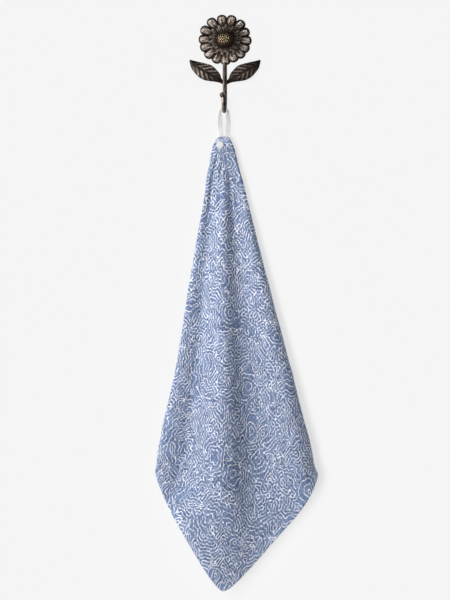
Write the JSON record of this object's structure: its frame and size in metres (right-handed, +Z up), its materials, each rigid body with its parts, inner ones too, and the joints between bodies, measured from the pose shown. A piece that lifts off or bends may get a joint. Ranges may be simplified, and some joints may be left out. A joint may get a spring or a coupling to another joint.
{
  "type": "waffle towel hanging from a wall hook",
  "caption": "Waffle-weave kitchen towel hung by one corner in soft folds, with a snapped tape loop over the J hook of a cast flower wall hook.",
  "frame": {"origin": "on the flat back of the wall hook, behind the middle of its flower", "axes": "+Z up, +Y into the wall, the viewer at -Y with +X to the right; the wall is the plane Y = 0"},
  "size_m": [0.2627, 0.0779, 0.8941],
  "materials": {
    "cloth": "matt waffle weave, blue with a white labyrinth print",
    "tape": "matt twill tape",
    "snap_plastic": "smooth white",
    "aged_bronze": "dark aged bronze with rubbed highlights"
  },
  "bodies": {
    "root": {"towel": "cloth", "hanging_strap": "tape", "snap": "snap_plastic", "hook": "aged_bronze"}
  },
  "joints": []
}
